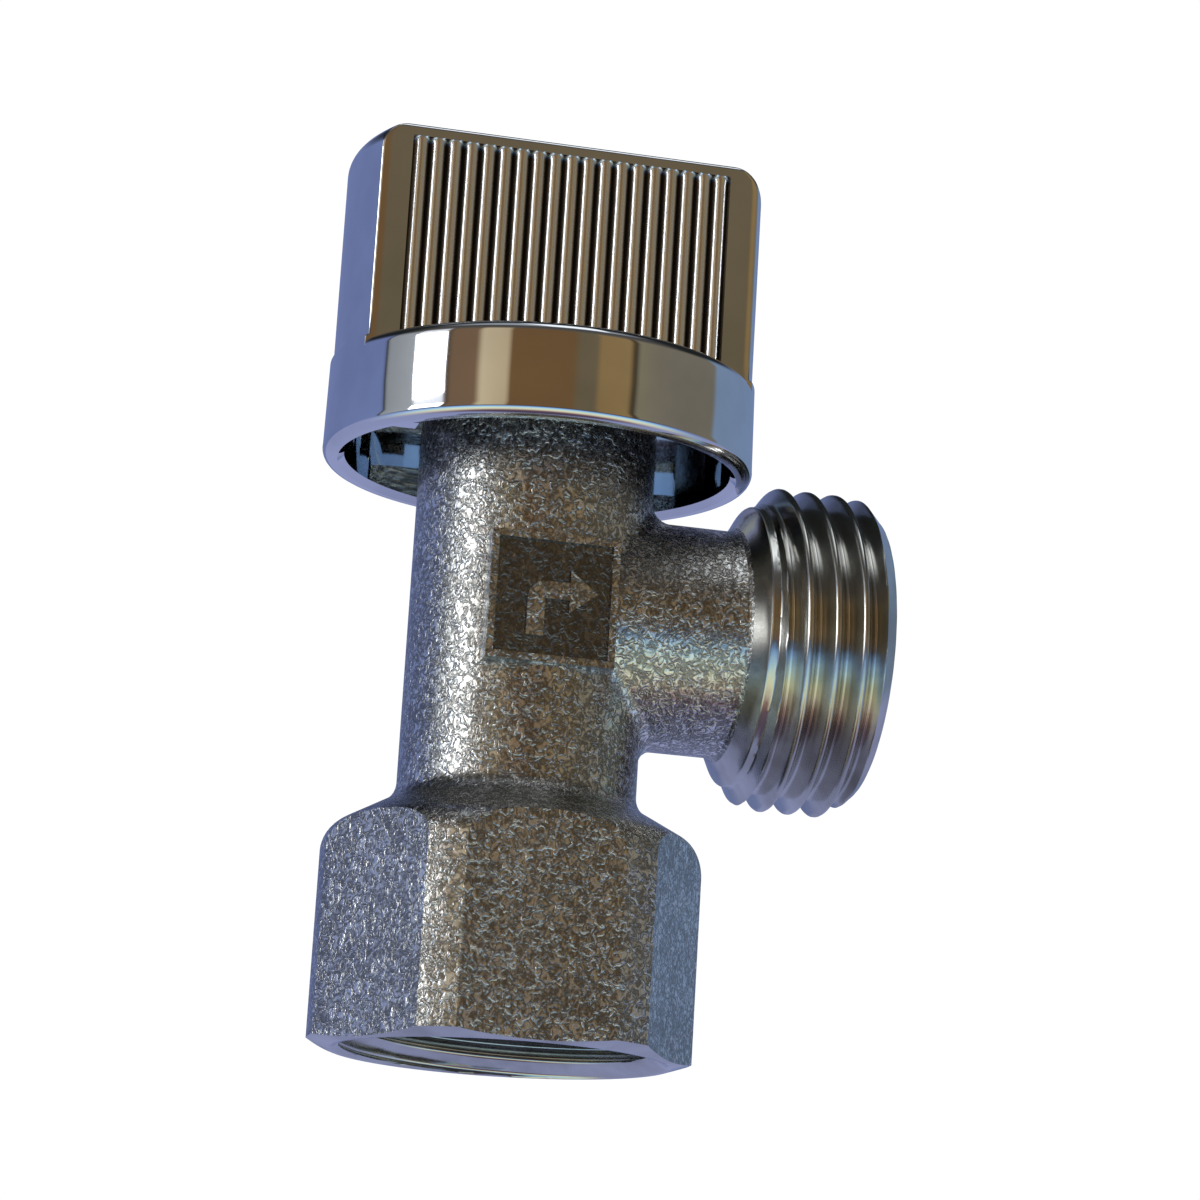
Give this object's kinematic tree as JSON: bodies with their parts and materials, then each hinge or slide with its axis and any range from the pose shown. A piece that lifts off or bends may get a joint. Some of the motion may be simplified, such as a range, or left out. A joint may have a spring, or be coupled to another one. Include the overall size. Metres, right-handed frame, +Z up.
{
  "type": "quarter-turn angle valve",
  "caption": "Quarter-turn angle valve: internally threaded hexagon inlet below, externally threaded outlet at the side, ported ball on a sealed stem and a ribbed plated bar knob.",
  "frame": {"origin": "centre of the inlet mouth, in the plane of the hexagon's end face", "axes": "+Z up the spindle axis to the knob, +X out of the outlet, -Y out of the square panel"},
  "size_m": [0.0358, 0.0278, 0.0586],
  "materials": {
    "nickel_brass": "shot-blasted nickel plating",
    "brass": "machined",
    "chrome_brass": "polished chrome plating",
    "seat_plastic": "smooth",
    "seal_rubber": "smooth",
    "plated_plastic": "polished chrome plating",
    "steel": "zinc plated"
  },
  "bodies": {
    "body": {"valve_body": "nickel_brass", "thrust_washer": "seat_plastic", "inlet_seat": "seat_plastic", "clamp_ring": "brass", "outlet_seat": "seat_plastic", "outlet_bush": "brass"},
    "handle": {"knob": "plated_plastic", "stem": "brass", "lower_seal_ring": "seal_rubber", "upper_seal_ring": "seal_rubber", "ball": "chrome_brass", "drive_insert": "brass", "lock_washer": "steel", "knob_screw": "steel", "knob_cap": "plated_plastic"}
  },
  "joints": [
    {"name": "handle_turn", "type": "hinge", "parent": "body", "child": "handle", "pos_m": [0, 0, 0.0279], "axis": [0, 0, 1], "range_deg": [-90, 0]}
  ]
}
